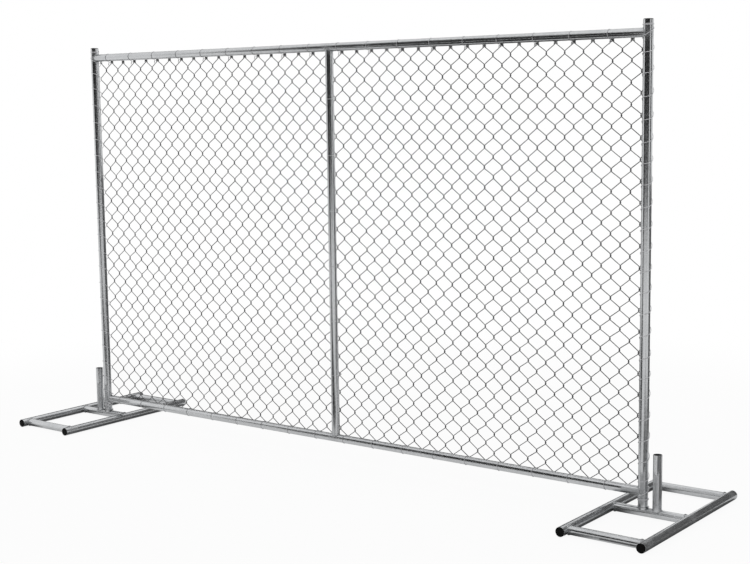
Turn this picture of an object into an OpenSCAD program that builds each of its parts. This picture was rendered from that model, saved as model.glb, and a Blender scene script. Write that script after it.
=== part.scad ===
// Temporary fence panel: a tubular steel frame with a woven wire mesh, standing on two ladder-shaped feet.
// X runs along the panel, Y from its front to its back, and Z up. The origin lies on the ground,
// midway between the feet and in the plane of the posts. All lengths are in millimetres.

/* [Panel frame] */
// Width over the two end posts
panel_w = 3048; // [1800:1:3660]
// Length of an end post
post_len = 1829; // [1200:1:2440]
// Outside diameter of the end posts
post_od = 38; // [36:0.1:48]
// Wall of the end posts
post_wall = 1.2; // [0.8:0.1:2]
// Outside diameter of the rails and the middle post
rail_od = 35; // [25:0.1:35.5]
// Wall of the rails and the middle post
rail_wall = 1.2; // [0.8:0.1:2.5]
// From the top of a post down to the axis of the top rail
top_rail_drop = 47; // [25:0.5:120]
// From the foot of a post up to the axis of the bottom rail
bottom_rail_rise = 59; // [40:0.5:150]
// How far a saddle-cut tube end reaches down the sides of the tube it stands on
saddle_depth = 7; // [2:0.5:10]

/* [Mesh] */
// Wire of the mesh
net_wire = 3.5; // [2:0.1:5]
// Zigzag wires that hang side by side, an odd number
net_pickets = 31; // [11:2:31]
// Straight runs in each zigzag wire, an even number
net_runs = 18; // [8:2:18]
// From the axis of the top rail down to the top of the mesh
net_top_drop = 18; // [10:0.5:40]
// From the axis of the bottom rail up to the foot of the mesh
net_bottom_rise = 3; // [0:0.5:40]
// How far the bends of two neighbouring wires reach past one another
net_hook = 3; // [2:0.1:5]

/* [Lacing and ties] */
// Wire that laces the mesh to the end posts
lacing_wire = 2.5; // [1.5:0.1:3.5]
// Wire of the ties on the rails and the middle post
tie_wire = 2; // [1:0.1:3]
// Runs of the mesh from one tie on the middle post to the next
middle_tie_runs = 3; // [1:1:6]

/* [Feet] */
// Length of a foot, across the panel
foot_len = 802; // [500:1:1200]
// Distance between the axes of a foot's two runners
foot_w = 324; // [240:1:600]
// Outside diameter of the runners
runner_od = 38; // [36:0.1:60]
// Wall of the runners
runner_wall = 1.5; // [1:0.1:3]
// Outside diameter of the crossbars
crossbar_od = 35; // [25:0.1:35.5]
// Wall of the crossbars
crossbar_wall = 1.5; // [1:0.1:3]
// From the end of a runner to the axis of the nearest crossbar
crossbar_inset = 42; // [30:0.5:150]
// Distance between the axes of a foot's two upright stubs
stub_spacing = 59; // [52:0.5:120]
// Height of a stub above the crossbar
stub_h = 213; // [100:1:400]
// Wall of the stubs
stub_wall = 1.5; // [1:0.1:3]
// Leg of the weld round the foot of a stub
stub_weld = 1; // [0.8:0.1:4]
// Play between a stub and the post or ring around it, on the radius
stub_clearance = 0.3; // [0.2:0.05:1]
// Outside diameter of the loose ring that a post stands on
ring_od = 48; // [42:0.5:60]
// Thickness of that ring
ring_t = 1.5; // [1:0.1:6]

/* [End plugs] */
// Width of the tube's steel edge left bare round the head of a plug
plug_rim = 0.8; // [0.2:0.05:1]
// Thickness of the head at its edge
plug_edge = 1.5; // [0.8:0.1:4]
// Rise of its bevelled border above that edge
plug_rise = 1.5; // [0.5:0.1:5]
// Width of the bevelled border
plug_bevel = 5; // [1:0.1:10]
// Depth of the hollow shank inside the tube
plug_depth = 18; // [8:0.5:40]
// Wall of the shank
plug_wall = 2; // [1:0.1:4]

/* [Hidden] */

// Smoothness of round shapes
$fn = 48;
// How far every cut runs past what it cuts
overrun = 5;
// Gap at a seat where two parts that move on one another meet
seat_gap = 0.2;
// Gap between a wire and what it lies against
wire_gap = 0.3;
// Gap between a plug's shank and the bore that holds it, on the radius
plug_gap = 0.1;
// Sides of the panel, as seen from the front
left = -1;
right = 1;
// Colours of the galvanised tube, the bright tie and lacing wire, the dull mesh and the plugs
tube_colour = [0.64, 0.66, 0.68];
wire_colour = [0.74, 0.76, 0.78];
mesh_colour = [0.47, 0.48, 0.49];
plug_colour = [0.05, 0.05, 0.06];

// Radii of the tubes and their bores
post_r = post_od / 2;
post_bore_r = post_r - post_wall;
rail_r = rail_od / 2;
runner_r = runner_od / 2;
crossbar_r = crossbar_od / 2;
stub_r = post_bore_r - stub_clearance;

// Places along the panel and across a foot
post_x = panel_w / 2 - post_r;
foot_x = post_x + stub_spacing / 2;
inner_runner_x = foot_x - foot_w / 2;
outer_runner_x = foot_x + foot_w / 2;
free_stub_x = post_x + stub_spacing;
end_crossbar_y = foot_len / 2 - crossbar_inset;

// Heights above the ground
axle_z = runner_r;
crown_z = axle_z + crossbar_r;
ring_z = crown_z + stub_weld + seat_gap;
post_z = ring_z + ring_t + seat_gap;
post_top_z = post_z + post_len;
top_rail_z = post_top_z - top_rail_drop;
bottom_rail_z = post_z + bottom_rail_rise;

// The mesh hangs behind the frame, in two layers of wire that hook into one another
net_y = max(post_r, rail_r) + wire_gap;
net_back_y = net_y + 2 * net_wire + wire_gap;
net_bottom_z = bottom_rail_z + net_bottom_rise;
net_top_z = top_rail_z - net_top_drop;
net_step_x = 2 * post_x / net_pickets;
net_step_z = (net_top_z - net_bottom_z) / net_runs;
net_run = norm([net_step_x + 2 * net_hook, net_step_z]);
net_half_w = net_wire / 2 * net_run / net_step_z;
net_crossing = net_hook + net_wire;

function is_even(n) = n % 2 == 0;
function net_x(line) = -post_x + line * net_step_x;
function net_z(level) = net_bottom_z + level * net_step_z;
function bend_x(picket, level) =
    is_even(picket + level) ? net_x(picket) - net_hook : net_x(picket + 1) + net_hook;

// A bent wire is a row of rings of corners, and its skin joins each ring to the next
wire_sides = 4;

function wire_index(ring, side, rings) = ring % rings * wire_sides + side % wire_sides;
function wire_skin(spans, rings) = [
    for (ring = [0 : spans - 1])
    for (side = [0 : wire_sides - 1])
    let (
        here = wire_index(ring, side, rings),
        beside = wire_index(ring, side + 1, rings),
        ahead = wire_index(ring + 1, side, rings),
        across = wire_index(ring + 1, side + 1, rings)
    )
    each [[here, ahead, across], [here, across, beside]]
];

// The lacing winds up a post, one turn for each run of the mesh, and swells behind the mesh
lacing_r = lacing_wire / 2;
lacing_turns = net_runs - 1;
lacing_steps = 12;
lacing_rings = lacing_turns * lacing_steps + 1;
// Angle at which the lacing passes through the mesh, level with a bend
lacing_pass = 130;
// Angle at which it stands farthest from the post
lacing_swell = 105;
lacing_chord_share = cos(180 / lacing_steps);
lacing_path_r = (post_r + wire_gap) / lacing_chord_share + lacing_r;
lacing_back_r = (net_y + net_wire + wire_gap) / pow(lacing_chord_share, 2) + lacing_r;

function lacing_angle(ring) = lacing_pass + 180 + 360 * ring / lacing_steps;
function lacing_reach(angle) =
    lacing_path_r + (lacing_back_r - lacing_path_r) * pow(max(0, cos(angle - lacing_swell)), 2);
function lacing_out(ring) = [cos(lacing_angle(ring)), sin(lacing_angle(ring)), 0];
function lacing_centre(ring) =
    lacing_reach(lacing_angle(ring)) * lacing_out(ring)
    + [0, 0, net_z(0) + net_step_z * (1 / 2 + ring / lacing_steps)];
function lacing_along(ring) =
    [-sin(lacing_angle(ring)), cos(lacing_angle(ring)), net_step_z / (2 * PI * lacing_path_r)];
function lacing_across(ring) =
    let (across = cross(lacing_along(ring), lacing_out(ring))) across / norm(across);
function lacing_corner(ring, side) =
    lacing_centre(ring)
    + lacing_r * cos(360 * side / wire_sides) * lacing_out(ring)
    + lacing_r * sin(360 * side / wire_sides) * lacing_across(ring);
function lacing_self_gap() =
    min([
        for (a = [0 : lacing_rings - 1])
        for (b = [a + lacing_steps / 2 : 1 : min(a + 2 * lacing_steps, lacing_rings - 1)])
        norm(lacing_centre(a) - lacing_centre(b))
    ]) - lacing_wire;
echo(lacing_least_gap_to_itself = lacing_self_gap());

// A tie is a closed loop of this many straight lengths
tie_steps = 12;

// Shapes that serve several parts

module along_x() { rotate([0, 90, 0]) children(); }

module along_y() { rotate([-90, 0, 0]) children(); }

module across_x() { rotate([90, 0, 90]) children(); }

module tube(od, wall, len) {
    difference() {
        cylinder(h = len, d = od);
        translate([0, 0, -overrun]) cylinder(h = len + 2 * overrun, d = od - 2 * wall);
    }
}

// Solid rods along the tubes, which cut the ends of the tubes that meet them
module post_rods() {
    for (side = [left, right])
        translate([side * post_x, 0, 0]) cylinder(h = post_top_z + overrun, r = post_r);
}

module rail_rods() {
    for (z = [bottom_rail_z, top_rail_z])
        translate([-post_x, 0, z]) along_x() cylinder(h = 2 * post_x, r = rail_r);
}

module runner_rods(side) {
    for (x = [inner_runner_x, outer_runner_x])
        translate([side * x, -foot_len / 2, axle_z]) along_y() cylinder(h = foot_len, r = runner_r);
}

module crossbar_rod(side) {
    translate([side * foot_x - foot_w / 2, 0, axle_z]) along_x() cylinder(h = foot_w, r = crossbar_r);
}

// A plug on the end of a tube whose axis is Z, with its head above the tube's end and a hollow shank below
module plug(od, wall) {
    head_r = od / 2 - plug_rim;
    head_h = plug_edge + plug_rise;
    shank_r = od / 2 - wall - plug_gap;
    hollow_r = shank_r - plug_wall;
    color(plug_colour) rotate_extrude() polygon([
        [0, 0], [hollow_r, 0], [hollow_r, -plug_depth], [shank_r, -plug_depth], [shank_r, 0],
        [head_r, 0], [head_r, plug_edge], [head_r - plug_bevel, head_h], [0, head_h]
    ]);
}

// A wire loop round a tube at the origin that also takes in a corner of the mesh, flat in X and Y
module tie(tube_r, corner) {
    tie_r = tie_wire / 2;
    near = tube_r + wire_gap + tie_r;
    far = norm(corner) + wire_gap + tie_r;
    loop_r = (far + near) / 2 / cos(180 / tie_steps);
    points = [
        for (ring = [0 : tie_steps - 1])
        for (side = [0 : wire_sides - 1])
        let (
            out = 360 * ring / tie_steps,
            round = 360 * side / wire_sides,
            reach = loop_r + tie_r * cos(round)
        )
        [reach * cos(out), reach * sin(out), -tie_r * sin(round)]
    ];
    translate((far - near) / 2 * corner / norm(corner))
        polyhedron(points, wire_skin(tie_steps, tie_steps));
}

// Parts of the panel

module end_post(side) {
    color(tube_colour)
        translate([side * post_x, 0, post_z]) tube(post_od, post_wall, post_len);
}

module rail(z) {
    color(tube_colour) difference() {
        translate([-post_x, 0, z]) along_x() tube(rail_od, rail_wall, 2 * post_x);
        post_rods();
    }
}

module middle_post() {
    foot_z = bottom_rail_z + rail_r - saddle_depth;
    head_z = top_rail_z - rail_r + saddle_depth;
    color(tube_colour) difference() {
        translate([0, 0, foot_z]) tube(rail_od, rail_wall, head_z - foot_z);
        rail_rods();
    }
}

module post_plug(side) {
    translate([side * post_x, 0, post_top_z]) plug(post_od, post_wall);
}

module picket(k) {
    outline = concat(
        [for (level = [0 : net_runs]) [bend_x(k, level) - net_half_w, net_z(level)]],
        [for (level = [net_runs : -1 : 0]) [bend_x(k, level) + net_half_w, net_z(level)]]
    );
    front_y = is_even(k) ? net_y : net_back_y - net_wire;
    translate([0, front_y + net_wire, 0])
        rotate([90, 0, 0]) linear_extrude(height = net_wire) polygon(outline);
}

module mesh() {
    color(mesh_colour) for (k = [0 : net_pickets - 1]) picket(k);
}

module post_lacing() {
    last = lacing_rings - 1;
    points = [
        for (ring = [0 : last])
        for (side = [0 : wire_sides - 1])
        lacing_corner(ring, side)
    ];
    top = last * wire_sides;
    ends = [
        for (side = [1 : wire_sides - 2])
        each [[0, side, side + 1], [top, top + side + 1, top + side]]
    ];
    color(wire_colour) translate([post_x, 0, 0])
        polyhedron(points, concat(wire_skin(last, lacing_rings), ends));
}

module right_post_lacing() { post_lacing(); }

module left_post_lacing() { mirror([1, 0, 0]) post_lacing(); }

module rail_ties(rail_z, corner) {
    color(wire_colour)
        for (line = [2 : 2 : net_pickets - 1])
        translate([net_x(line), 0, rail_z]) across_x() tie(rail_r, corner);
}

module top_rail_ties() {
    rail_ties(top_rail_z, [net_back_y, -net_top_drop - net_crossing]);
}

module bottom_rail_ties() {
    rail_ties(bottom_rail_z, [net_back_y, net_bottom_rise + net_crossing]);
}

module middle_post_ties() {
    corner = [0, norm([net_half_w + tie_wire, net_back_y])];
    color(wire_colour)
        for (level = [1 : middle_tie_runs : net_runs - 2])
        translate([0, 0, net_z(level + 1 / 2)]) tie(rail_r, corner);
}

// Parts of a foot

module seat_ring(side) {
    color(wire_colour) translate([side * post_x, 0, ring_z]) difference() {
        cylinder(h = ring_t, d = ring_od);
        translate([0, 0, -overrun]) cylinder(h = ring_t + 2 * overrun, r = stub_r + stub_clearance);
    }
}

module runner(x) {
    color(tube_colour)
        translate([x, -foot_len / 2, axle_z]) along_y() tube(runner_od, runner_wall, foot_len);
}

module crossbar(side, y) {
    color(tube_colour) difference() {
        translate([side * foot_x - foot_w / 2, y, axle_z])
            along_x() tube(crossbar_od, crossbar_wall, foot_w);
        runner_rods(side);
    }
}

// A stub stands with its saddle on the crossbar, and a weld runs round it there
module stub(side, x) {
    bore_r = stub_r - stub_wall;
    weld_r = stub_r + stub_weld;
    color(tube_colour) difference() {
        translate([side * x, 0, crown_z]) rotate_extrude() polygon([
            [bore_r, -saddle_depth], [weld_r, -saddle_depth], [weld_r, 0],
            [stub_r, stub_weld], [stub_r, stub_h], [bore_r, stub_h]
        ]);
        crossbar_rod(side);
    }
}

module end_plugs(side) {
    for (x = [inner_runner_x, outer_runner_x])
        for (end = [0, 1])
        translate([side * x, 0, axle_z]) mirror([0, end, 0])
            translate([0, foot_len / 2, 0]) along_y() plug(runner_od, runner_wall);
}

end_post(left);  // left_end_post
end_post(right);  // right_end_post
middle_post();
rail(top_rail_z);  // top_rail
rail(bottom_rail_z);  // bottom_rail
post_plug(left);  // left_post_plug
post_plug(right);  // right_post_plug
mesh();
left_post_lacing();
right_post_lacing();
top_rail_ties();
bottom_rail_ties();
middle_post_ties();
seat_ring(left);  // left_seat_ring
runner(left * inner_runner_x);  // left_inner_runner
runner(left * outer_runner_x);  // left_outer_runner
crossbar(left, -end_crossbar_y);  // left_front_crossbar
crossbar(left, 0);  // left_middle_crossbar
crossbar(left, end_crossbar_y);  // left_rear_crossbar
stub(left, post_x);  // left_post_stub
stub(left, free_stub_x);  // left_free_stub
end_plugs(left);  // left_end_plugs
seat_ring(right);  // right_seat_ring
runner(right * inner_runner_x);  // right_inner_runner
runner(right * outer_runner_x);  // right_outer_runner
crossbar(right, -end_crossbar_y);  // right_front_crossbar
crossbar(right, 0);  // right_middle_crossbar
crossbar(right, end_crossbar_y);  // right_rear_crossbar
stub(right, post_x);  // right_post_stub
stub(right, free_stub_x);  // right_free_stub
end_plugs(right);  // right_end_plugs
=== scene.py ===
# %% [markdown]
# # A chain-link fence panel on two loose feet
#
# The real thing is a frame of galvanised tube with woven wire mesh tied to its back. Two ladder-shaped
# feet lie on the ground, and the end posts drop over stubs on them. The packed CAD model already has
# every tube at its place, so this lesson loads it, gives the tubes a zinc finish, and makes what plain
# solids can't show: the weave of the mesh, the wire that laces it on, the twisted ties and the welds.

# %% Load the packed model
import math
import random

import bmesh
import bpy
from mathutils import Matrix, Vector


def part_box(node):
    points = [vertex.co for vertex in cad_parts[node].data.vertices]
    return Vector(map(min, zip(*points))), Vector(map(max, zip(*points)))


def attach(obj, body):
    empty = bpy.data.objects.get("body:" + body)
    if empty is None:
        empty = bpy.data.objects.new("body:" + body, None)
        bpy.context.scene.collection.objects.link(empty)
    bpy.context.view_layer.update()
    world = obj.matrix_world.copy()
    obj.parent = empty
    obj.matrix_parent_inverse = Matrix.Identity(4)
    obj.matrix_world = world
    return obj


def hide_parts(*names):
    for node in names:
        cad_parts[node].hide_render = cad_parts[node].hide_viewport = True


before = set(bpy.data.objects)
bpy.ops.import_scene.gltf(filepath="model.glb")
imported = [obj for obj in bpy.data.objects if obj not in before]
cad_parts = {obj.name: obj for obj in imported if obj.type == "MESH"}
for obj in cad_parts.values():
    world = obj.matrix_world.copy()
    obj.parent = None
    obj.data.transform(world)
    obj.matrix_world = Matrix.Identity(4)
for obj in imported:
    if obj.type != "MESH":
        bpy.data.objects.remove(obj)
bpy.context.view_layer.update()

# %% [markdown]
# ## The camera
#
# The viewpoint was found by matching measured corners of the frame and the feet. The camera stands to
# the right of the panel, a little below its top, and looks slightly down. A focal length in pixels
# becomes Blender's lens length once the width of the picture and of the sensor are known.

# %% Camera
PHOTO_WIDTH = 750
SENSOR_WIDTH = 36.0
FOCAL_PIXELS = 1368.7
EYE = Vector((3.7873, -4.6353, 1.5718))
TURN, DIP, ROLL = (math.radians(a) for a in (37.488, 7.368, -0.798))

ahead = Vector((-math.sin(TURN) * math.cos(DIP), math.cos(TURN) * math.cos(DIP), -math.sin(DIP)))
level = Vector((math.cos(TURN), math.sin(TURN), 0))
upright = level.cross(ahead)
across = math.cos(ROLL) * level + math.sin(ROLL) * upright
upward = math.cos(ROLL) * upright - math.sin(ROLL) * level

camera_data = bpy.data.cameras.new("camera")
camera_data.sensor_fit = "HORIZONTAL"
camera_data.sensor_width = SENSOR_WIDTH
camera_data.lens = FOCAL_PIXELS / PHOTO_WIDTH * SENSOR_WIDTH
camera = bpy.data.objects.new("camera", camera_data)
camera.matrix_world = Matrix.Translation(EYE) @ Matrix((across, upward, -ahead)).transposed().to_4x4()
bpy.context.scene.collection.objects.link(camera)
bpy.context.scene.camera = camera
print("lens", round(camera_data.lens, 2), "mm")

# %% [markdown]
# ## Where the tubes are
#
# Every new piece has to sit on the tubes, so their places and sizes are read from the frame and not
# typed in again. A round tube's box gives its axis and its radius. The two feet mirror each other, so
# the right one's places serve for both.

# %% Places and sizes
def middle_and_half(node_name):
    """The middle of a node's box and half its size along each axis."""
    low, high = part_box(node_name)
    return (low + high) / 2, (high - low) / 2


post, post_half = middle_and_half("right_end_post")
POST_X, POST_R, POST_TOP = post.x, post_half.x, post.z + post_half.z
top_rail, rail_half = middle_and_half("top_rail")
bottom_rail, _ = middle_and_half("bottom_rail")
TOP_RAIL_Z, BOTTOM_RAIL_Z, RAIL_R = top_rail.z, bottom_rail.z, rail_half.z
net, net_half = middle_and_half("mesh")
NET_Y, NET_TOP, NET_FOOT = net.y, net.z + net_half.z, net.z - net_half.z
inner_runner, runner_half = middle_and_half("right_inner_runner")
outer_runner, _ = middle_and_half("right_outer_runner")
INNER_X, OUTER_X = inner_runner.x, outer_runner.x
RUNNER_R, RUNNER_END = runner_half.x, runner_half.y
rear_bar, bar_half = middle_and_half("right_rear_crossbar")
BAR_Y, BAR_Z, BAR_R = rear_bar.y, rear_bar.z, bar_half.y
free_stub, _ = middle_and_half("right_free_stub")
STUB_X = free_stub.x
HANDS = {"left": -1, "right": 1}
print("posts at", round(POST_X, 4), "rails at", round(TOP_RAIL_Z, 4), round(BOTTOM_RAIL_Z, 4))

# %% [markdown]
# ## Node trees written as sums
#
# A material or a Geometry Nodes tree is a set of boxes and links. Written out one by one they hide the
# idea, so two small classes help. The first is `Flow`, a value on its way through a tree. A sum written
# with it adds Math nodes, so a formula in a tree reads like any other formula.

# %% Flow
class Flow:
    """A value on its way through a node tree."""

    def __init__(self, bench, socket):
        self.bench, self.socket = bench, socket

    def math(self, operation, *others):
        return self.bench.node("ShaderNodeMath", {"operation": operation}, dict(enumerate((self, *others))))

    def vector(self, operation, other, out=0):
        return self.bench.node("ShaderNodeVectorMath", {"operation": operation}, {0: self, 1: other}, out)

    def __add__(self, other):
        return self.math("ADD", other)

    def __sub__(self, other):
        return self.math("SUBTRACT", other)

    def __rsub__(self, other):
        return self.math("MULTIPLY_ADD", -1, other)

    def __mul__(self, other):
        return self.math("MULTIPLY", other)

    def __truediv__(self, other):
        return self.math("DIVIDE", other)

    def __mod__(self, other):
        return self.math("MODULO", other)

    __radd__ = __add__
    __rmul__ = __mul__

    def between(self, low, high):
        return self.math("MAXIMUM", low).math("MINIMUM", high)

    def ease(self, start, end):
        settings = {"interpolation_type": "SMOOTHSTEP"}
        return self.bench.node("ShaderNodeMapRange", settings, {"Value": self, 1: start, 2: end})


print("sums that a Flow can take part in:", [name for name in vars(Flow) if name.startswith("__r")])

# %% [markdown]
# ## A bench to build trees on
#
# The second class is `Bench`, a tree that is being built. It adds a node from its type, its settings and
# its sockets, and links every socket that is given a `Flow`. The few nodes that nearly every finish here
# uses have short names of their own.

# %% Bench
class Bench:
    """A node tree that is being built."""

    def __init__(self, tree):
        self.tree = tree

    def node(self, kind, settings=None, sockets=None, out=0):
        made = self.tree.nodes.new(kind)
        for name, value in (settings or {}).items():
            setattr(made, name, value)
        for key, value in (sockets or {}).items():
            if isinstance(value, Flow):
                self.tree.links.new(value.socket, made.inputs[key])
            else:
                made.inputs[key].default_value = value
        return Flow(self, made.outputs[out]) if made.outputs else None

    def object_coords(self):
        return self.node("ShaderNodeTexCoord", None, None, "Object")

    def noise(self, coords, scale, detail, out=0):
        sockets = {"Vector": coords, "Scale": scale, "Detail": detail}
        return self.node("ShaderNodeTexNoise", None, sockets, out)

    def bump(self, height, strength, distance):
        return self.node("ShaderNodeBump", None, {
            "Strength": strength, "Distance": distance, "Height": height})

    def blend(self, factor, first, second):
        return self.node("ShaderNodeMix", {"data_type": "RGBA"}, {0: factor, 6: first, 7: second}, 2)

    def vector_of(self, **parts):
        return self.node("ShaderNodeCombineXYZ", None, parts)


print("nodes with a short name:", [name for name in vars(Bench) if not name.startswith("__")])

# %% [markdown]
# ## Galvanised tube
#
# Zinc on steel is a soft grey metal. It shows cells of slightly different grey, called spangle, faint
# streaks along the tube where it ran through the mill, and dull grey patches where a weld was painted
# over with zinc paint. The patterns read Object coordinates, so they keep their real size, and the
# streaks are noise that is stretched along the tube. The patches lie round the weld points.

# %% Zinc finish for tubes
ZINC_DARK, ZINC_LIGHT = (0.48, 0.49, 0.50, 1), (0.66, 0.67, 0.68, 1)
ZINC_PAINT = (0.5, 0.51, 0.52, 1)
DULL_EDGE = (0.75, 0.75, 0.75, 1)
SPANGLE_PER_M = 140.0
STREAKS_PER_M, STREAK_STRETCH = 260.0, 0.03
CLOUDS_PER_M = 7.0
GRAIN_PER_M = 900.0
PAINT_REACH, PAINT_CORE = 0.042, 0.45
RAGGED_PER_M, RAGGED = 90.0, 0.03


def new_material(name):
    material = bpy.data.materials.new(name)
    material.use_nodes = True
    material.node_tree.nodes.clear()
    return material, Bench(material.node_tree)


def finish_surface(bench, shader):
    bench.node("ShaderNodeOutputMaterial", None, {"Surface": shader})


def painted_welds(bench, coords, welds):
    """1 at the welds, which lie alike on both sides of the object, fading to 0."""
    folded = coords.vector("ABSOLUTE", (0, 0, 0))
    nearest = None
    for weld in welds:
        gap = folded.vector("DISTANCE", weld, 1)
        nearest = gap if nearest is None else nearest.math("MINIMUM", gap)
    ragged = bench.noise(coords, RAGGED_PER_M, 3.0)
    return (nearest + (ragged - 0.5) * RAGGED).ease(PAINT_REACH, PAINT_REACH * PAINT_CORE)


def zinc_tube(name, along, welds):
    material, bench = new_material(name)
    coords = bench.object_coords()
    stretch = [STREAKS_PER_M] * 3
    stretch["XYZ".index(along)] *= STREAK_STRETCH
    stretched = bench.node("ShaderNodeMapping", None, {"Vector": coords, "Scale": stretch})
    streak = bench.noise(stretched, 1.0, 2.0)
    cells = bench.node("ShaderNodeTexVoronoi", None, {"Vector": coords, "Scale": SPANGLE_PER_M}, "Color")
    cell = bench.node("ShaderNodeSeparateColor", None, {"Color": cells})
    cloud = bench.noise(coords, CLOUDS_PER_M, 4.0)
    fine = bench.noise(coords, GRAIN_PER_M, 2.0)
    paint = painted_welds(bench, coords, welds)

    tone = (0.5 + (cell - 0.5) * 0.35 + (streak - 0.5) * 0.8 + (cloud - 0.5) * 0.8).between(0, 1)
    colour = bench.blend(paint * 0.8, bench.blend(tone, ZINC_DARK, ZINC_LIGHT), ZINC_PAINT)
    bloom = (cloud - 0.5).ease(0.02, 0.25)
    rough = 0.19 + cell * 0.04 + (streak - 0.5) * 0.06 + bloom * 0.05 + paint * 0.06
    finish_surface(bench, bench.node("ShaderNodeBsdfPrincipled", None, {
        "Base Color": colour, "Metallic": 1 - paint * 0.1, "Roughness": rough, "Specular Tint": DULL_EDGE,
        "Normal": bench.bump(streak * 0.6 + fine * 0.4, strength=0.012, distance=0.0003)}))
    return material


print("spangle cells are about", round(1000 / SPANGLE_PER_M, 1), "mm wide")

# %% [markdown]
# ## Dressing the tubes
#
# The streaks run along each kind of tube, and the frame and the feet are welded at different points, so
# each kind gets a finish of its own. The points are given for one quarter only, because the finish folds
# its coordinates at the middle. No weld is near the rings.

# %% Zinc on every tube
frame_welds = [(x, 0, z) for x in (0, POST_X) for z in (TOP_RAIL_Z, BOTTOM_RAIL_Z)]
foot_welds = [(x, y, BAR_Z) for x in (INNER_X, OUTER_X) for y in (0, BAR_Y)]
foot_welds.append((STUB_X, 0, BAR_Z + BAR_R))

tube_finish = {
    "post": zinc_tube("zinc_post", "Z", frame_welds),
    "rail": zinc_tube("zinc_rail", "X", frame_welds),
    "runner": zinc_tube("zinc_runner", "Y", foot_welds),
    "crossbar": zinc_tube("zinc_crossbar", "X", foot_welds),
    "stub": zinc_tube("zinc_stub", "Z", foot_welds),
    "ring": zinc_tube("zinc_ring", "X", frame_welds),
}
dressed = 0
for node_name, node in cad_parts.items():
    kind = node_name.rsplit("_", 1)[-1]
    if kind in tube_finish:
        for material_slot in node.material_slots:
            material_slot.material = tube_finish[kind]
        dressed += 1
print("tubes dressed in zinc:", dressed)

# %% [markdown]
# ## Wire, weld and plastic
#
# All the wire is zinc coated too. The mesh wire's colour is dark: partly dull zinc, partly painted shade
# on the net. The ties and the lacing are bright. A weld bead is rougher than the tube and greyer, because
# zinc paint covers it. The plugs are black moulded plastic with a fine grain. Each one gets its own noise
# at its own scale, so that no surface is one flat colour.

# %% Zinc wire, weld bead and black plastic
WIRE_CLOUDS_PER_M, SPECKS_PER_M = 25.0, 700.0
WELD_LUMPS_PER_M = 320.0
WELD_DARK, WELD_LIGHT = (0.34, 0.35, 0.36, 1), (0.6, 0.61, 0.62, 1)
PLUG_GRAIN_PER_M, SCUFFS_PER_M = 1500.0, 60.0
PLUG_BLACK, PLUG_SCUFFED = (0.004, 0.004, 0.004, 1), (0.010, 0.010, 0.010, 1)


def zinc_wire(name, dark, light, rough):
    material, bench = new_material(name)
    coords = bench.object_coords()
    cloud = bench.noise(coords, WIRE_CLOUDS_PER_M, 3.0)
    speck = bench.noise(coords, SPECKS_PER_M, 1.0)
    tone = (0.5 + (cloud - 0.5) * 1.4 + (speck - 0.5) * 0.5).between(0, 1)
    colour = bench.blend(tone, (dark, dark, dark * 1.02, 1), (light, light, light * 1.02, 1))
    finish_surface(bench, bench.node("ShaderNodeBsdfPrincipled", None, {
        "Base Color": colour, "Metallic": 1.0, "Roughness": rough + (speck - 0.5) * 0.12,
        "Normal": bench.bump(speck, strength=0.05, distance=0.0003)}))
    return material


def weld_metal(name):
    material, bench = new_material(name)
    lump = bench.noise(bench.object_coords(), WELD_LUMPS_PER_M, 3.0)
    colour = bench.blend(lump, WELD_DARK, WELD_LIGHT)
    finish_surface(bench, bench.node("ShaderNodeBsdfPrincipled", None, {
        "Base Color": colour, "Metallic": 0.75, "Roughness": 0.42 + lump * 0.2,
        "Normal": bench.bump(lump, strength=0.25, distance=0.0006)}))
    return material


def black_plastic(name):
    material, bench = new_material(name)
    coords = bench.object_coords()
    grain = bench.noise(coords, PLUG_GRAIN_PER_M, 2.0)
    worn = bench.noise(coords, SCUFFS_PER_M, 5.0).ease(0.55, 0.75)
    colour = bench.blend(worn, PLUG_BLACK, PLUG_SCUFFED)
    finish_surface(bench, bench.node("ShaderNodeBsdfPrincipled", None, {
        "Base Color": colour, "Roughness": 0.48 + worn * 0.15 + (grain - 0.5) * 0.1,
        "Specular IOR Level": 0.05, "Normal": bench.bump(grain, strength=0.15, distance=0.0003)}))
    return material


# painted shade: the mesh wire's dark colour stands partly for shade on the net, partly for dull zinc
mesh_wire = zinc_wire("zinc_mesh_wire", dark=0.11, light=0.20, rough=0.36)
tie_wire = zinc_wire("zinc_tie_wire", dark=0.5, light=0.7, rough=0.3)
lacing_wire = zinc_wire("zinc_lacing_wire", dark=0.66, light=0.86, rough=0.34)
bead_metal = weld_metal("zinc_painted_weld")
plug_plastic = black_plastic("black_plug_plastic")
print("materials:", len(bpy.data.materials))

# %% [markdown]
# ## From a node tree to a plain mesh
#
# Geometry Nodes make everything here that repeats or follows a path. `grow` runs a tree on a source
# mesh, keeps the result as a plain mesh and throws the modifier away. The inputs of a modifier are set
# by their identifiers, which the tree's interface gives for each name. `piece` joins plain meshes, hangs
# the result on the body that carries it, gives it the first mesh's finish and hides the CAD nodes it
# stands for.

# %% Growing a mesh from a tree
def new_tree(name, inputs):
    """A tree with a geometry input and output and the named inputs, as (bench, flows by name)."""
    tree = bpy.data.node_groups.new(name, "GeometryNodeTree")
    tree.interface.new_socket("Geometry", in_out="OUTPUT", socket_type="NodeSocketGeometry")
    tree.interface.new_socket("Geometry", in_out="INPUT", socket_type="NodeSocketGeometry")
    for label, kind in inputs.items():
        tree.interface.new_socket(label, in_out="INPUT", socket_type="NodeSocket" + kind)
    bench = Bench(tree)
    entry = tree.nodes.new("NodeGroupInput")
    return bench, {label: Flow(bench, entry.outputs[label]) for label in ("Geometry", *inputs)}


def close_tree(bench, geometry, material):
    """Ends a tree in smooth, real faces of one material."""
    real = bench.node("GeometryNodeRealizeInstances", None, {"Geometry": geometry})
    smooth = bench.node("GeometryNodeSetShadeSmooth", None, {"Geometry": real})
    coated = bench.node("GeometryNodeSetMaterial", None, {"Geometry": smooth, "Material": material})
    bench.node("NodeGroupOutput", None, {"Geometry": coated})
    return bench.tree


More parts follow.
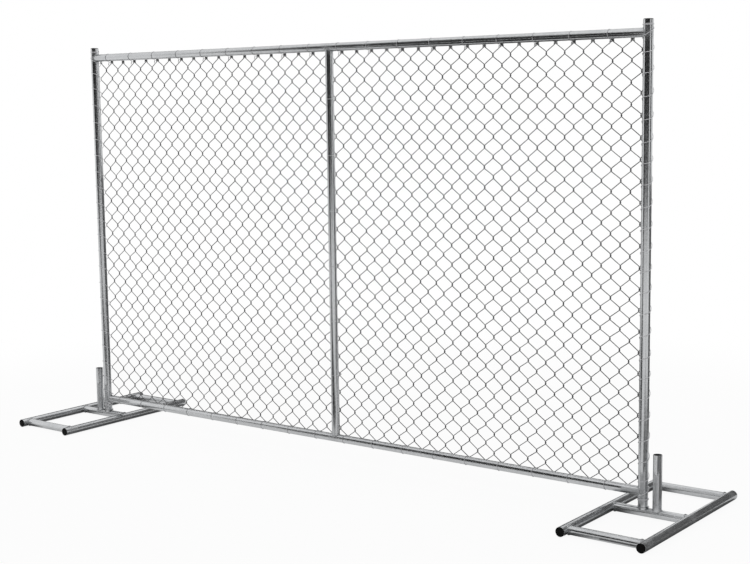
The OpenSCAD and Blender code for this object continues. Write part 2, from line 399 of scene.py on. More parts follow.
def grow(tree, name, values, source=None):
    holder = bpy.data.objects.new(name + "_source", source or bpy.data.meshes.new(name + "_source"))
    bpy.context.scene.collection.objects.link(holder)
    modifier = holder.modifiers.new("grow", "NODES")
    modifier.node_group = tree
    identifiers = {i.name: i.identifier for i in tree.interface.items_tree if i.in_out == "INPUT"}
    for label, value in values.items():
        modifier[identifiers[label]] = value
    seen = holder.evaluated_get(bpy.context.evaluated_depsgraph_get())
    mesh = bpy.data.meshes.new_from_object(seen)
    holder.modifiers.remove(modifier)
    bpy.data.objects.remove(holder)
    mesh.name = name
    mesh.materials.clear()
    mesh.materials.append(values["Material"])
    mesh.polygons.foreach_set("material_index", [0] * len(mesh.polygons))
    return mesh


def piece(name, body, meshes, nodes=()):
    """One finished piece from one or more plain meshes of one material."""
    joined = bmesh.new()
    for mesh in meshes:
        joined.from_mesh(mesh)
    data = bpy.data.meshes.new(name)
    joined.to_mesh(data)
    joined.free()
    data.materials.append(meshes[0].materials[0])
    made = bpy.data.objects.new(name, data)
    bpy.context.scene.collection.objects.link(made)
    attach(made, body)
    if nodes:
        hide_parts(*nodes)
    print(name, "faces:", len(data.polygons))


# %% [markdown]
# ## The woven mesh
#
# Chain link is a row of zigzag wires. Each wire is a flattened coil: every run to the right lies in
# front, every run to the left lies behind, and at each bend the wire passes through the next one's bend
# and turns back. So one rule gives the whole mesh. Five points per bend are enough, because the runs
# between bends are straight. Every second wire is the same wire turned half round, and low noise moves
# hooked bends together, as hand-stretched mesh does.

# %% Chain-link tree
POINTS_PER_BEND = 5
MIDDLE_POINT = POINTS_PER_BEND // 2
BEND_SHARE = 0.105
LAYER_SHARE = 0.09
WIRE_SIDES = 6
WOBBLE_PER_M = 6.0


def wobbled(bench, geometry, amount):
    noise = bench.noise(bench.node("GeometryNodeInputPosition"), WOBBLE_PER_M, 1.0, "Color")
    centred = noise.vector("SUBTRACT", (0.5, 0.5, 0.5))
    return bench.node("GeometryNodeSetPosition", None, {
        "Geometry": geometry, "Offset": centred.vector("MULTIPLY", bench.vector_of(X=amount, Z=amount))})


def swept(bench, edges, wire, scale=1.0):
    path = bench.node("GeometryNodeMeshToCurve", None, {"Mesh": edges})
    ring = bench.node("GeometryNodeCurvePrimitiveCircle", None, {
        "Resolution": WIRE_SIDES, "Radius": wire * 0.5})
    return bench.node("GeometryNodeCurveToMesh", None, {
        "Curve": path, "Profile Curve": ring, "Scale": scale, "Fill Caps": True})


def copied(bench, shape, count, start, stride, euler):
    """Real copies of a shape in a row, each turned by its own angles."""
    row = bench.node("GeometryNodeMeshLine", None, {
        "Count": count, "Start Location": start, "Offset": stride})
    facing = bench.node("FunctionNodeEulerToRotation", None, {"Euler": euler})
    copies = bench.node("GeometryNodeInstanceOnPoints", None, {
        "Points": row, "Instance": shape, "Rotation": facing})
    return bench.node("GeometryNodeRealizeInstances", None, {"Geometry": copies})


def chain_link_tree():
    bench, put = new_tree("chain_link", {
        "Wire": "Float", "Half Pitch": "Float", "Level": "Float", "Runs": "Int", "Pickets": "Int",
        "Hook": "Float", "Weave": "Float", "Start": "Vector", "Wobble": "Float", "Material": "Material"})
    step = bench.node("GeometryNodeInputIndex") + MIDDLE_POINT
    bend = ((step + 0.5) / POINTS_PER_BEND).math("FLOOR")
    away = (step - bend * POINTS_PER_BEND - MIDDLE_POINT) * BEND_SHARE
    side = 1 - ((bend + 0.01) % 2).math("FLOOR") * 2
    widest = BEND_SHARE * MIDDLE_POINT
    reach = put["Half Pitch"] * 0.5 + put["Hook"]
    round_off = reach * (1 / (0.5 - widest / 2) / (2 * widest))
    zigzag = bench.vector_of(
        X=side * (reach - round_off * away * away),
        Y=side * put["Weave"] * (away / LAYER_SHARE).between(-1, 1),
        Z=(bend + away) * put["Level"] * -1)
    points = bench.node("GeometryNodeMeshLine", None, {
        "Count": put["Runs"] * POINTS_PER_BEND + 1, "Offset": (0, 0, 0)})
    bent = bench.node("GeometryNodeSetPosition", None, {"Geometry": points, "Position": zigzag})
    picket = swept(bench, bent, put["Wire"])
    half_turn = ((bench.node("GeometryNodeInputIndex") + 1) % 2) * math.pi
    hung = copied(bench, picket, put["Pickets"], put["Start"], bench.vector_of(X=put["Half Pitch"]),
                  bench.vector_of(Z=half_turn))
    return close_tree(bench, wobbled(bench, hung, put["Wobble"]), put["Material"])


chain_link = chain_link_tree()
print("nodes in the weaving tree:", len(chain_link.nodes))

# %% [markdown]
# ## Weaving the net
#
# The diamonds are 81 mm wide, as on common 57 mm chain link, so neighbouring wires stand half of that
# apart. The net fills the height that the CAD mesh has, and hooks and layers are a little over half a
# wire, so that hooked bends touch and don't cut into each other.

# %% Woven wires
NET_WIRE = 0.0035
NET_PICKETS, NET_RUNS = 74, 42
HALF_PITCH = 0.0405
NET_LEFT = -1.488
NET_LEVEL = (NET_TOP - NET_FOOT) / NET_RUNS
WEAVE = HOOK = 0.0019
WOBBLE = 0.011

woven = grow(chain_link, "woven_wires", {
    "Wire": NET_WIRE, "Half Pitch": HALF_PITCH, "Level": NET_LEVEL, "Runs": NET_RUNS,
    "Pickets": NET_PICKETS, "Hook": HOOK, "Weave": WEAVE, "Wobble": WOBBLE, "Material": mesh_wire,
    "Start": (NET_LEFT + HALF_PITCH / 2, NET_Y, NET_TOP)})
piece("chain_link_mesh", "panel", [woven], ["mesh"])

# %% [markdown]
# ## Bent wires in a row
#
# The knuckles along the top and bottom of the mesh and all the ties are short bent wires that repeat in
# even rows. One tree sweeps a drawn path into a wire. A second one sets copies of a mesh out in a row,
# each with a slightly different turn from a fixed seed, because ties are twisted by hand.

# %% Trees for drawn wire and for rows of copies
LUMPS_PER_M = 160.0


def drawn_wire_tree():
    bench, put = new_tree("drawn_wire", {
        "Wire": "Float", "Ripple": "Float", "Ripple Length": "Float", "Material": "Material"})
    walked = bench.node("GeometryNodeSplineParameter", None, None, "Length")
    wave = (walked / put["Ripple Length"] * (2 * math.pi)).math("SINE")
    lumps = bench.noise(bench.node("GeometryNodeInputPosition"), LUMPS_PER_M, 1.0) - 0.5
    thickness = 1 + put["Ripple"] * (wave * 0.5 + lumps * 2)
    return close_tree(bench, swept(bench, put["Geometry"], put["Wire"], thickness), put["Material"])


def row_tree():
    bench, put = new_tree("row_of_copies", {
        "Count": "Int", "Start": "Vector", "Stride": "Vector", "Turn": "Vector", "Play": "Vector",
        "Wobble": "Float", "Seed": "Int", "Material": "Material"})
    chance = bench.node("FunctionNodeRandomValue", {"data_type": "FLOAT_VECTOR"}, {
        0: (-1, -1, -1), 1: (1, 1, 1), "Seed": put["Seed"]})
    turned_by = put["Turn"].vector("ADD", chance.vector("MULTIPLY", put["Play"]))
    copies = copied(bench, put["Geometry"], put["Count"], put["Start"], put["Stride"], turned_by)
    return close_tree(bench, wobbled(bench, copies, put["Wobble"]), put["Material"])


drawn_wire, row_of_copies = drawn_wire_tree(), row_tree()
print("trees:", [tree.name for tree in bpy.data.node_groups])

# %% [markdown]
# ## Drawing a wire's path
#
# A bent wire is easiest to draw as a few corners with a smooth curve through them. The curve used here
# passes through every corner and takes its direction from the two neighbours, so a wire drawn round a
# tube stays on it.

# %% Paths and their wires
def smooth_path(corners, per_span):
    """Points on a smooth curve through the corners."""
    corners = [Vector(c) for c in corners]
    last = len(corners) - 1
    path = []
    for i in range(last):
        a, b, c, d = (corners[min(max(i + k, 0), last)] for k in (-1, 0, 1, 2))
        for k in range(per_span):
            t = k / per_span
            path.append(0.5 * (2 * b + (c - a) * t + (2 * a - 5 * b + 4 * c - d) * t ** 2
                               + (3 * b - a - 3 * c + d) * t ** 3))
    return path + [corners[-1]]


def path_mesh(name, paths, closed):
    """A mesh of bare edges along the paths."""
    verts, edges = [], []
    for path in paths:
        first = len(verts)
        verts += [tuple(p) for p in path]
        edges += [(first + i, first + i + 1) for i in range(len(path) - 1)]
        if closed:
            edges.append((len(verts) - 1, first))
    mesh = bpy.data.meshes.new(name)
    mesh.from_pydata(verts, edges, [])
    return mesh


def drawn(name, wire, material, paths, closed=False, ripple=0.0, ripple_length=0.004):
    return grow(drawn_wire, name, {
        "Wire": wire, "Ripple": ripple, "Ripple Length": ripple_length, "Material": material},
        path_mesh(name, paths, closed))


def row_of(name, copy, material, count, start, stride, turn=(0, 0, 0), play=(0, 0, 0), wobble=0.0, seed=1):
    return grow(row_of_copies, name, {
        "Count": count, "Start": start, "Stride": stride, "Turn": turn, "Play": play,
        "Wobble": wobble, "Seed": seed, "Material": material}, copy)


print("points on a path of 3 corners:", len(smooth_path([(0, 0, 0), (1, 0, 0), (1, 1, 0)], 4)))

# %% [markdown]
# ## Knuckles
#
# At the top and bottom edges two wires end at every second bend. There each end is hooked over its
# neighbour, so no sharp tips stand up. One hook is drawn as a path. Turned half round about the upright
# axis it is the neighbour's hook, and turned over it is the hook at the bottom edge.

# %% Knuckled edges
PEAK_STRIDE = (2 * HALF_PITCH, 0, 0)
PEAKS = NET_PICKETS // 2

side, layer = HOOK, WEAVE
hook_path = smooth_path([
    (side - 0.0002, 0.6 * layer, -0.0012), (side, -0.3 * layer, 0.0012),
    (side - 0.0004, -0.9 * layer, 0.0034), (side - 0.0020, -1.1 * layer, 0.0054),
    (-side - 0.0006, -1.1 * layer, 0.0056), (-side - 0.0028, -layer, 0.0036),
    (-side - 0.0031, -layer, 0.0004), (-side - 0.0028, -layer, -0.0032),
    (-side - 0.0030, -layer, -0.0062), (-side - 0.0050, -layer, -0.0090)], per_span=2)
hook = drawn("mesh_hook", NET_WIRE, mesh_wire, [hook_path])
knuckles = []
for edge, height, over in (("top", NET_TOP, 0), ("foot", NET_FOOT, math.pi)):
    for label, first, spin in (("odd", 2, 0), ("even", 0, math.pi)):
        start = (NET_LEFT + first * HALF_PITCH, NET_Y, height)
        knuckles.append(row_of(f"knuckles_{edge}_{label}", hook, mesh_wire, PEAKS, start, PEAK_STRIDE,
                               (over, 0, spin), wobble=WOBBLE))
piece("mesh_knuckles", "panel", knuckles)

# %% [markdown]
# ## Ties
#
# A tie is a short wire bent round the tube and behind a bend of the mesh, with its two ends twisted
# together and left as a pigtail. The loop is drawn in the plane across the tube, from one end of the
# twist to the other, and the pigtail is two strands that wind round each other.

# %% Drawing a tie
TIE_WIRE = 0.0018
TIE_R = TIE_WIRE / 2
TIE_GAP = 0.0002
TIE_RUB = RAIL_R + TIE_R + TIE_GAP
STRAND_GAP = 0.0011
TWISTS = 2.5
STRAND_POINTS = 11


def arc(start, end, count):
    """Points round the tube, where a tie rubs on it, from one angle in degrees to another."""
    angles = (math.radians(start + (end - start) * i / (count - 1)) for i in range(count))
    return [(TIE_RUB * math.cos(a), TIE_RUB * math.sin(a)) for a in angles]


def pigtail(root, tip, phase):
    """One strand of a twist from root to tip, in the plane's own two directions and across it."""
    root, tip = Vector((*root, 0)), Vector((*tip, 0))
    along = (tip - root).normalized()
    sideways = Vector((-along.y, along.x, 0))
    points = []
    for i in range(STRAND_POINTS):
        share = i / (STRAND_POINTS - 1)
        angle = phase + TWISTS * 2 * math.pi * share
        turned_off = math.cos(angle) * sideways + math.sin(angle) * Vector((0, 0, 1))
        points.append(root.lerp(tip, share) + STRAND_GAP * turned_off)
    return points


def tie(name, loop, root, tip, upright=False):
    """A tie of one strand, a loop of flat points and the other strand, across a rail if upright."""
    first, second = pigtail(root, tip, 0), pigtail(root, tip, math.pi)
    body = [Vector((u, v, 0)) for u, v in loop]
    path = smooth_path([*reversed(first[1:]), *body, *second[1:]], per_span=2)
    if upright:
        path = [Vector((p.z, p.x, p.y)) for p in path]
    return drawn(name, TIE_WIRE, tie_wire, [path])


print("ties rub on the tubes at", round(1000 * TIE_RUB, 2), "mm from the axis")

# %% [markdown]
# ## Setting the ties
#
# Rail ties hold every second peak of the mesh, and the middle post has one tie to every third diamond.
# The points of each loop that aren't on the tube take in the mesh wire, so most of them are measured
# from its back, and those of the rail ties also from the height of its edge over the rail's axis.

# %% Wire ties
TIE_SEED = 11
TIE_PLAY = (0, 0, math.radians(5))
TIE_STRIDE = (4 * HALF_PITCH, 0, 0)
RAIL_TIES = PEAKS // 2
MIDDLE_TIES = 6
MIDDLE_TIE_LEVELS = 6
MIDDLE_FIRST_LEVEL = 5
MIDDLE_PLAY = (math.radians(3), math.radians(3), 0)
BACK_GAP = 0.0003

net_back = NET_Y + WEAVE + NET_WIRE / 2 + TIE_R + BACK_GAP
drop = NET_TOP - TOP_RAIL_Z
top_tie = tie("top_tie", [
    *arc(-80, -350, 13), (net_back - 0.002, drop + 0.010), (net_back, drop - 0.002),
    (net_back - 0.0018, drop - 0.0075), (NET_Y - 0.004, drop - 0.0085), (0.009, drop - 0.004)],
    (0.0045, drop - 0.0035), (0.001, drop - 0.019), upright=True)
rise = NET_FOOT - BOTTOM_RAIL_Z
foot_tie = tie("foot_tie", [
    *arc(-40, -310, 13), (NET_Y - 0.006, rise + 0.0115), (NET_Y + 0.002, rise + 0.0105),
    (net_back, rise + 0.005), (net_back + 0.0003, rise - 0.006), (0.0225, -0.0125)],
    (0.0175, -0.0145), (0.027, -0.026), upright=True)
middle_tie = tie("middle_tie", [
    (-0.006, net_back), (-0.0165, net_back - 0.004), *arc(-200, 20, 15),
    (0.0205, net_back - 0.004), (0.012, net_back + 0.0006)],
    (0.003, net_back + 0.0012), (0.001, net_back + 0.012))

first_peak = NET_LEFT + 2 * HALF_PITCH
tie_rows = {
    "top_rail_ties": row_of("top_ties", top_tie, tie_wire, RAIL_TIES, (first_peak, 0, TOP_RAIL_Z),
                            TIE_STRIDE, play=TIE_PLAY, seed=TIE_SEED),
    "bottom_rail_ties": row_of("foot_ties", foot_tie, tie_wire, RAIL_TIES, (first_peak, 0, BOTTOM_RAIL_Z),
                               TIE_STRIDE, play=TIE_PLAY, seed=TIE_SEED + 1),
    "middle_post_ties": row_of("middle_ties", middle_tie, tie_wire, MIDDLE_TIES,
                               (0, 0, NET_TOP - MIDDLE_FIRST_LEVEL * NET_LEVEL),
                               (0, 0, -MIDDLE_TIE_LEVELS * NET_LEVEL), play=MIDDLE_PLAY, seed=TIE_SEED + 2),
}
for node_name, mesh in tie_rows.items():
    piece("wire_" + node_name, "panel", [mesh], [node_name])

# %% [markdown]
# ## Lacing on the end posts
#
# A single wire winds up each end post, one turn to a diamond, and takes in the outermost bends of the
# mesh. It hugs the post in front, where it lies nearly level, and climbs at the back, where it stands
# off to pass behind the mesh. A wire can't wind through a rail, so it crosses both rails on the outside
# of the post and ends beyond them in tight turns. The hands that wound it were not exact: a seeded
# random shift moves every hold.

# %% Lacing
LACING_WIRE = 0.0025
LACING_TURNS = NET_RUNS // 2
LACING_STEPS = 24
LACING_SEEDS = {"right": 5, "left": 8}
PASS_ANGLE, BACK_ANGLE = math.radians(130), math.radians(100)
POST_GAP, NET_GAP = 0.0003, 0.0012
LACING_NEAR = POST_R + LACING_WIRE / 2 + POST_GAP
LACING_FAR = NET_Y + WEAVE + NET_WIRE / 2 + LACING_WIRE / 2 + NET_GAP
BACK_CLIMB = 0.75
FIRST_HOLD = 0.018
RAIL_CLEAR = 0.026
UNEVEN = 0.006
END_TURNS, END_PITCH = 2, 0.0034


def lacing_height(turn, holds):
    """Height of the wire after so many turns past its first hold on the mesh."""
    if 0 <= turn <= LACING_TURNS:
        k = min(int(turn), LACING_TURNS - 1)
        lead = PASS_ANGLE - BACK_ANGLE
        swing = (math.sin(2 * math.pi * turn + lead) - math.sin(lead)) / (2 * math.pi)
        return holds[k] + (holds[k + 1] - holds[k]) * (turn - k + BACK_CLIMB * swing)
    if turn < 0:
        hold, past, beyond, way = holds[0], -turn, BOTTOM_RAIL_Z - RAIL_CLEAR, -1
    else:
        hold, past, beyond, way = holds[-1], turn - LACING_TURNS, TOP_RAIL_Z + RAIL_CLEAR, 1
    share = min(past, 1)
    return hold + (beyond - hold) * share ** 2 * (3 - 2 * share) + way * (past - share) * END_PITCH


def lacing_path(hand, seed):
    chance = random.Random(seed)
    holds = [NET_FOOT + 2 * NET_LEVEL * k + chance.uniform(-UNEVEN, UNEVEN) for k in range(LACING_TURNS + 1)]
    holds[0], holds[-1] = BOTTOM_RAIL_Z + FIRST_HOLD, TOP_RAIL_Z - RAIL_CLEAR
    path = []
    before = END_TURNS + 1
    for i in range((LACING_TURNS + 2 * before) * LACING_STEPS + 1):
        turn = i / LACING_STEPS - before
        angle = PASS_ANGLE + 2 * math.pi * turn
        by_mesh = -0.5 < turn < LACING_TURNS + 0.5
        swell = max(0.0, math.cos(angle - BACK_ANGLE)) ** 2 if by_mesh else 0.0
        radius = LACING_NEAR + (LACING_FAR - LACING_NEAR) * swell
        path.append((hand * (POST_X + radius * math.cos(angle)), radius * math.sin(angle),
                     lacing_height(turn, holds)))
    return path


for name, seed in LACING_SEEDS.items():
    wound_wire = drawn(name + "_lacing", LACING_WIRE, lacing_wire, [lacing_path(HANDS[name], seed)])
    piece(name + "_wound_lacing", "panel", [wound_wire], [name + "_post_lacing"])

# %% [markdown]
# ## Welds
#
# Every tube end is coped to the tube it meets and welded all round. The seam is the line where two
# round tubes cross, which follows from their radii. Where the tubes are alike, the seam would dip to
# the axis at two points. The real cut is shallower there, so the depth eases into a least depth. The
# drawn-wire tree sweeps a bead along the seam, with a ripple for each pause of the torch.

# %% Weld beads
BEAD = 0.0042
BEAD_PROUD = BEAD * 0.12
SEAM_POINTS = 72
RIPPLE, RIPPLE_LENGTH = 0.16, 0.0048
GROUND_ROOM = BEAD / 2 * (1 + 2 * RIPPLE)
SADDLE_DEPTH = 0.007
SADDLE_LEAST = RAIL_R - SADDLE_DEPTH
EASING = 8
X, Z = Vector((1, 0, 0)), Vector((0, 0, 1))


def seam(centre, along, up, tube_r, other_r, least=0.0):
    """The line where a tube that runs along one direction ends on another tube through the centre."""
    centre = Vector(centre)
    beside = along.cross(up)
    rim = tube_r + BEAD_PROUD
    path = []
    for i in range(SEAM_POINTS):
        angle = 2 * math.pi * i / SEAM_POINTS
        crossing = max(other_r ** 2 - (tube_r * math.cos(angle)) ** 2, 0)
        depth = (crossing ** (EASING / 2) + least ** EASING) ** (1 / EASING)
        spot = (centre + along * (depth + BEAD_PROUD)
                + beside * rim * math.cos(angle) + up * rim * math.sin(angle))
        spot.z = max(spot.z, GROUND_ROOM)
        path.append(spot)
    return path


def weld_piece(name, body, seams):
    beads = drawn(name + "_beads", BEAD, bead_metal, seams, closed=True,
                  ripple=RIPPLE, ripple_length=RIPPLE_LENGTH)
    piece(name + "_welds", body, [beads])


panel_seams = [seam((hand * POST_X, 0, z), X * -hand, Z, RAIL_R, POST_R)
               for hand in HANDS.values() for z in (TOP_RAIL_Z, BOTTOM_RAIL_Z)]
panel_seams += [seam((0, 0, BOTTOM_RAIL_Z), Z, X, RAIL_R, RAIL_R, SADDLE_LEAST),
                seam((0, 0, TOP_RAIL_Z), -Z, X, RAIL_R, RAIL_R, SADDLE_LEAST)]
weld_piece("panel", "panel", panel_seams)
for name, hand in HANDS.items():
    foot_seams = [seam((hand * x, y, BAR_Z), X * hand * inward, Z, BAR_R, RUNNER_R)
                  for x, inward in ((INNER_X, 1), (OUTER_X, -1)) for y in (-BAR_Y, 0, BAR_Y)]
    foot_seams.append(seam((hand * STUB_X, 0, BAR_Z), Z, X, BAR_R, BAR_R, SADDLE_LEAST))
    weld_piece(name + "_foot", name + "_foot", foot_seams)

# %% [markdown]
# ## Plugs
#
# Black plugs close the runners and the tops of the posts. A plug is turned, so half its outline spun
# round an axis makes it: a domed head with a rounded edge, a shallow ring on its face and a small gate
# mark, and a shank inside the tube. The row tree sets out the copies.

# %% Moulded plugs
PLUG_TURNS = 48
PLUG_DEPTH = 0.018
PLUG_RIM, PLUG_PLAY = 0.0008, 0.0001
RUNNER_WALL, POST_WALL = 0.0015, 0.0012


def turned(name, outline, material):
    """A closed solid from an outline of (radius, height) whose first and last radius are 0."""
    mesh = bpy.data.meshes.new(name)
    work = bmesh.new()
    rings = []
    for radius, height in outline:
        count = 1 if radius == 0 else PLUG_TURNS
        angles = [2 * math.pi * i / PLUG_TURNS for i in range(count)]
        rings.append([work.verts.new((radius * math.cos(a), radius * math.sin(a), height)) for a in angles])
    for low, high in zip(rings, rings[1:]):
        for i in range(PLUG_TURNS):
            k = (i + 1) % PLUG_TURNS
            corners = [low[i % len(low)], low[k % len(low)], high[k % len(high)], high[i % len(high)]]
            work.faces.new(list(dict.fromkeys(corners)))
    bmesh.ops.recalc_face_normals(work, faces=work.faces)
    work.to_mesh(mesh)
    work.free()
    mesh.materials.append(material)
    return mesh


def plug_outline(tube_r, wall):
    head, shank = tube_r - PLUG_RIM, tube_r - wall - PLUG_PLAY
    bottom = [(0, -PLUG_DEPTH), (shank - 0.001, -PLUG_DEPTH), (shank, 0.001 - PLUG_DEPTH), (shank, 0)]
    edge = [(head - 0.0003, 0), (head, 0.0003), (head, 0.0010), (head - 0.0003, 0.0016),
            (head - 0.0012, 0.0022), (head - 0.0030, 0.0026), (head - 0.0050, 0.0028)]
    face_ring = [(head - 0.0056, 0.0025), (head - 0.0066, 0.0025), (head - 0.0072, 0.0028)]
    gate = [(0.0028, 0.0030), (0.0024, 0.0026), (0.0012, 0.0026), (0.0010, 0.0029), (0, 0.0029)]
    return bottom + edge + face_ring + gate


runner_plug = turned("runner_plug", plug_outline(RUNNER_R, RUNNER_WALL), plug_plastic)
post_plug = turned("post_plug", plug_outline(POST_R, POST_WALL), plug_plastic)
for name, hand in HANDS.items():
    across_foot = (hand * (OUTER_X - INNER_X), 0, 0)
    ends = [row_of(f"{name}_plugs_{label}", runner_plug, plug_plastic, 2,
                   (hand * INNER_X, -way * RUNNER_END, RUNNER_R), across_foot, (way * math.pi / 2, 0, 0))
            for label, way in (("front", 1), ("rear", -1))]
    piece(name + "_moulded_end_plugs", name + "_foot", ends, [name + "_end_plugs"])
    top = row_of(name + "_plug_top", post_plug, plug_plastic, 1, (hand * POST_X, 0, POST_TOP), (0, 0, 0))
    piece(name + "_moulded_post_plug", "panel", [top], [name + "_post_plug"])

# %% [markdown]
# ## Floor
#
# The panel stands on a plain white floor without a visible horizon. The camera sees the floor mostly as
# a flat white that brightens with distance, with a share of true shading that keeps a faint shadow.
# Reflections see it as pale near the panel and white afar. Light Path tells the two apart.

# %% Floor
FLOOR_REACH = 14.0
FLOOR_GREY = 0.75
FADE_FROM, FADE_TO = 2.2, 4.0
CAMERA_WHITE, REFLECTED_WHITE = 0.92, 0.5


def studio_sheet(name, left_edge, right_edge, material):
    """A sheet between two edges, each a row of corners."""
    verts = [corner for pair in zip(left_edge, right_edge) for corner in pair]
    faces = [(2 * i, 2 * i + 1, 2 * i + 3, 2 * i + 2) for i in range(len(left_edge) - 1)]
    mesh = bpy.data.meshes.new(name)
    mesh.from_pydata(verts, [], faces)
    mesh.materials.append(material)
    sheet = bpy.data.objects.new(name, mesh)
    bpy.context.scene.collection.objects.link(sheet)
    return sheet


def floor_sheet(name, left_edge, right_edge, material, height=0.0):
    """A sheet that lies level between two edges drawn in plan."""
    edges = ([(x, y, height) for x, y in edge] for edge in (left_edge, right_edge))
    return studio_sheet(name, *edges, material)


def seen_by(bench, *rays):
    """1 for rays of these kinds, 0 for others."""
    flows = [bench.node("ShaderNodeLightPath", None, None, f"Is {ray} Ray") for ray in rays]
    seen = flows[0]
    for flow in flows[1:]:
        seen = seen.math("MAXIMUM", flow)
    return seen


def white_floor():
    material, bench = new_material("white_floor")
    lit = bench.node("ShaderNodeBsdfDiffuse", None, {"Color": (FLOOR_GREY, FLOOR_GREY, FLOOR_GREY, 1)})
    glow = bench.node("ShaderNodeEmission", None, {"Color": (1, 1, 1, 1), "Strength": 1.0})
    afar = bench.object_coords().vector("DISTANCE", (0, 0, 0), 1).ease(FADE_FROM, FADE_TO)
    to_camera = CAMERA_WHITE + afar * (1 - CAMERA_WHITE)
    to_metal = REFLECTED_WHITE + afar * (1 - REFLECTED_WHITE)
    whiteness = seen_by(bench, "Camera") * to_camera + seen_by(bench, "Glossy", "Transmission") * to_metal
    finish_surface(bench, bench.node("ShaderNodeMixShader", None, {0: whiteness, 1: lit, 2: glow}))
    return material


floor_edges = [[(x, y) for y in (-FLOOR_REACH, FLOOR_REACH)] for x in (-FLOOR_REACH, FLOOR_REACH)]
floor = floor_sheet("floor", *floor_edges, white_floor())
print("floor", [round(v, 1) for v in floor.dimensions])

# %% [markdown]
# ## What the metal reflects
#
# Metal shows its surroundings, so they are part of its look. Dark curtains hang before the panel and
# round the camera, right of the panel and behind its left end: they draw the dark bands down the posts.
# Dark cloths on the floor before and behind the panel draw the dark line along the rails. A sheet can
# also be clear in part: the painted shadow strips beside the runners fade to the right, and the pale cards
# show one face only.

# %% Cloths
DARK, GREY, PALE = 0.04, 0.2, 0.95
STRIP_FROM, STRIP_FADE, STRIP_TO = 0.012, 0.03, 0.14


def cloth(name, grey, clear=None):
    """A plain sheet, a cloth or painted shade, see-through where the given rule says 1."""
    material, bench = new_material(name)
    surface = bench.node("ShaderNodeBsdfDiffuse", None, {"Color": (grey, grey, grey, 1)})
    if clear:
        surface = bench.node("ShaderNodeMixShader", None, {
            0: clear(bench), 1: surface, 2: bench.node("ShaderNodeBsdfTransparent")})
    finish_surface(bench, surface)
    return material


def fading_right(bench):
    return bench.node("ShaderNodeSeparateXYZ", None, {0: bench.object_coords()}).ease(STRIP_FADE, STRIP_TO)


def one_sided(bench):
    return bench.node("ShaderNodeNewGeometry", None, None, "Backfacing")


# the grey sheet makes the low cards and also painted shade beside the right foot and before its front
# crossbar
dark_cloth, grey_cloth = cloth("dark_cloth", DARK), cloth("grey_cloth", GREY)
pale_cloth = cloth("pale_cloth", PALE, one_sided)
# painted shadow: grey strips beside the runners for the line of shadow where a runner meets the floor
runner_cloth = cloth("runner_cloth", GREY, fading_right)
print("cloths:", [m.name for m in bpy.data.materials if m.name.endswith("_cloth")])

# %% [markdown]
# ## Hanging the curtains
#
# The big curtains and cloths stand for a dark room, and each one is where a tube mirrors it towards the
# eye. The left curtain slants, because the top rail mirrors another height at each of its ends.

# %% Curtains and dark cloths
CURTAIN_FOOT, CURTAIN_TOP = 0.7, 4.6
ON_FLOOR = 0.001


def upright_card(name, plan, foot, top, material):
    return studio_sheet(name, [(x, y, foot) for x, y in plan], [(x, y, top) for x, y in plan], material)


curtain_plans = {
    "camera_curtain": [(-0.6, -5.4), (2.2, -5.6), (4.9, -4.2), (5.5, -1.75)],
    "side_card": [(5.3, -0.1), (4.6, 1.6)],
    "back_curtain": [(-6.0, 3.2), (-4.6, 5.4), (-2.0, 6.4)],
}
cards = [upright_card(name, plan, CURTAIN_FOOT, CURTAIN_TOP, dark_cloth)
         for name, plan in curtain_plans.items()]
cards.append(studio_sheet("left_curtain", [(-4.5, -4.0, 0.6), (-0.6, -5.4, 0.1)],
                          [(-4.5, -4.0, 8.0), (-0.6, -5.4, 3.2)], dark_cloth))
cards += [
    floor_sheet("front_cloth", [(-0.8, -0.6), (-4.4, -4.1)], [(0.95, -0.6), (-0.6, -5.4)],
                dark_cloth, ON_FLOOR),
    floor_sheet("back_cloth", [(-0.94, 0.35), (-1.8, 3.0)], [(0.56, 0.35), (-0.3, 3.0)],
                dark_cloth, ON_FLOOR),
]
print("curtains and dark cloths:", len(cards))

# %% [markdown]
# ## Cards at the feet
#
# The feet lie low and need cards of their own. A low grey card stands behind each foot, and right of the
# right one a grey sheet on the floor is painted shade, where the floor lies in shade by that foot. Painted
# shadow strips beside the runners and before the right foot's front crossbar stand for the line of shadow
# where a tube meets the floor. Pale cards before the middle and rear crossbars keep these bright. No card
# lights or shades anything, because only reflections see it.

# %% Cards and strips
FOOT_X = (INNER_X + OUTER_X) / 2
LOW_CARD_TOP = 1.2
BEHIND_FOOT = [(1.17, 0.4), (0.47, 1.2), (-0.33, 1.35)]
BEFORE_BAR = 0.07
BAR_CARD_FOOT, BAR_CARD_TOP = 0.03, 0.16
BAR_REACH = (OUTER_X - INNER_X) / 2 - RUNNER_R
BAR_FRONT = -BAR_Y - BAR_R
BAR_SHADE = 0.045

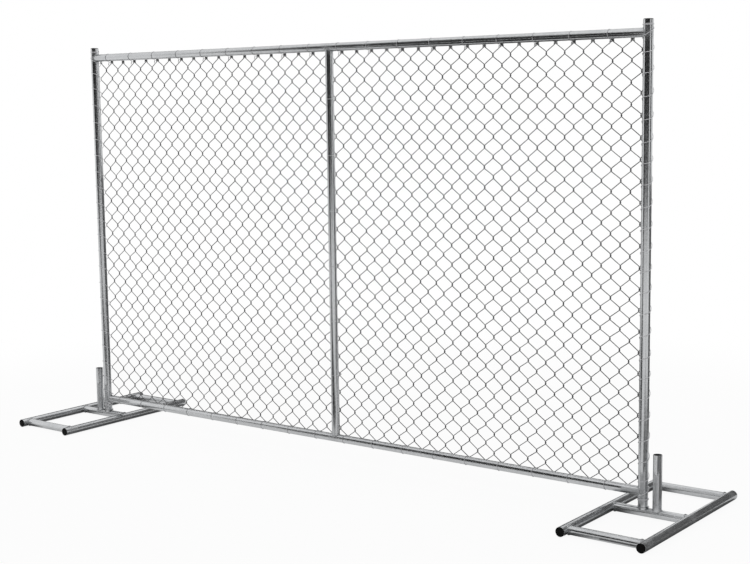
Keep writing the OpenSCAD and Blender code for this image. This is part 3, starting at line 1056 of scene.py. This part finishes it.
cards += [
    # painted shade: a grey sheet where the floor beside the right foot lies in shade
    floor_sheet("right_cloth", [(1.71, 0.4), (1.71, -0.9)], [(3.4, 0.6), (3.4, -2.4)],
                grey_cloth, ON_FLOOR),
    # painted shadow: a grey strip before the right foot's front crossbar, for its line of shadow on the
    # floor
    floor_sheet("bar_cloth", *([(FOOT_X + x, BAR_FRONT - y) for y in (BAR_SHADE, 0)]
                               for x in (-BAR_REACH, BAR_REACH)), grey_cloth, 2 * ON_FLOOR),
]
strip_edges = [[(x, y) for y in (-RUNNER_END, RUNNER_END)] for x in (STRIP_FROM, STRIP_TO)]
for name, hand in HANDS.items():
    behind = [(hand * FOOT_X + x, y) for x, y in BEHIND_FOOT]
    cards.append(upright_card(name + "_low_card", behind, ON_FLOOR, LOW_CARD_TOP, grey_cloth))
    for label, bar_y in (("middle", 0), ("rear", BAR_Y)):
        plan = [(hand * FOOT_X + x, bar_y - BEFORE_BAR) for x in (-BAR_REACH, BAR_REACH)]
        cards.append(upright_card(f"{name}_{label}_bar_card", plan, BAR_CARD_FOOT, BAR_CARD_TOP, pale_cloth))
    for label, runner_x in (("inner", INNER_X), ("outer", OUTER_X)):
        # painted shadow strip beside each runner
        strip = floor_sheet(f"{name}_{label}_runner_cloth", *strip_edges, runner_cloth, 2 * ON_FLOOR)
        strip.location.x = hand * runner_x
        cards.append(strip)
for card in cards:
    card.visible_camera = card.visible_diffuse = card.visible_shadow = card.visible_transmission = False
print("curtains, cloths and cards:", len(cards))

# %% [markdown]
# ## Light
#
# An even white sky and two large, weak softboxes light the panel at a plain level, so that a colour
# renders about as it is written. The camera and reflections see the sky as pure white, and everything
# else gets a little less of it.

# %% Sky and softboxes
SKY_LIGHT = 0.8
SOFTBOX_SIZE = 6.0
SOFTBOXES = {"softbox_left": (60, (-3.2, -3.4, 4.6)), "softbox_back": (45, (0.5, 4.0, 4.4))}
PANEL_MIDDLE = Vector((0, 0, 0.8))

world = bpy.data.worlds.new("studio")
bpy.context.scene.world = world
world.use_nodes = True
world.node_tree.nodes.clear()
sky = Bench(world.node_tree)
backdrop, ambient = (sky.node("ShaderNodeBackground", None, {"Color": (1, 1, 1, 1), "Strength": strength})
                     for strength in (1.0, SKY_LIGHT))
sky.node("ShaderNodeOutputWorld", None, {"Surface": sky.node("ShaderNodeMixShader", None, {
    0: seen_by(sky, "Camera", "Glossy", "Transmission"), 1: ambient, 2: backdrop})})

for name, (power, spot) in SOFTBOXES.items():
    lamp = bpy.data.lights.new(name, "AREA")
    lamp.energy, lamp.size = power, SOFTBOX_SIZE
    softbox = bpy.data.objects.new(name, lamp)
    softbox.location = spot
    softbox.rotation_euler = (PANEL_MIDDLE - Vector(spot)).to_track_quat("-Z", "Y").to_euler()
    softbox.visible_camera = softbox.visible_glossy = False
    bpy.context.scene.collection.objects.link(softbox)
bpy.context.scene.view_settings.view_transform = "Standard"
print("softboxes:", len(bpy.data.lights), "view:", bpy.context.scene.view_settings.view_transform)

# %% [markdown]
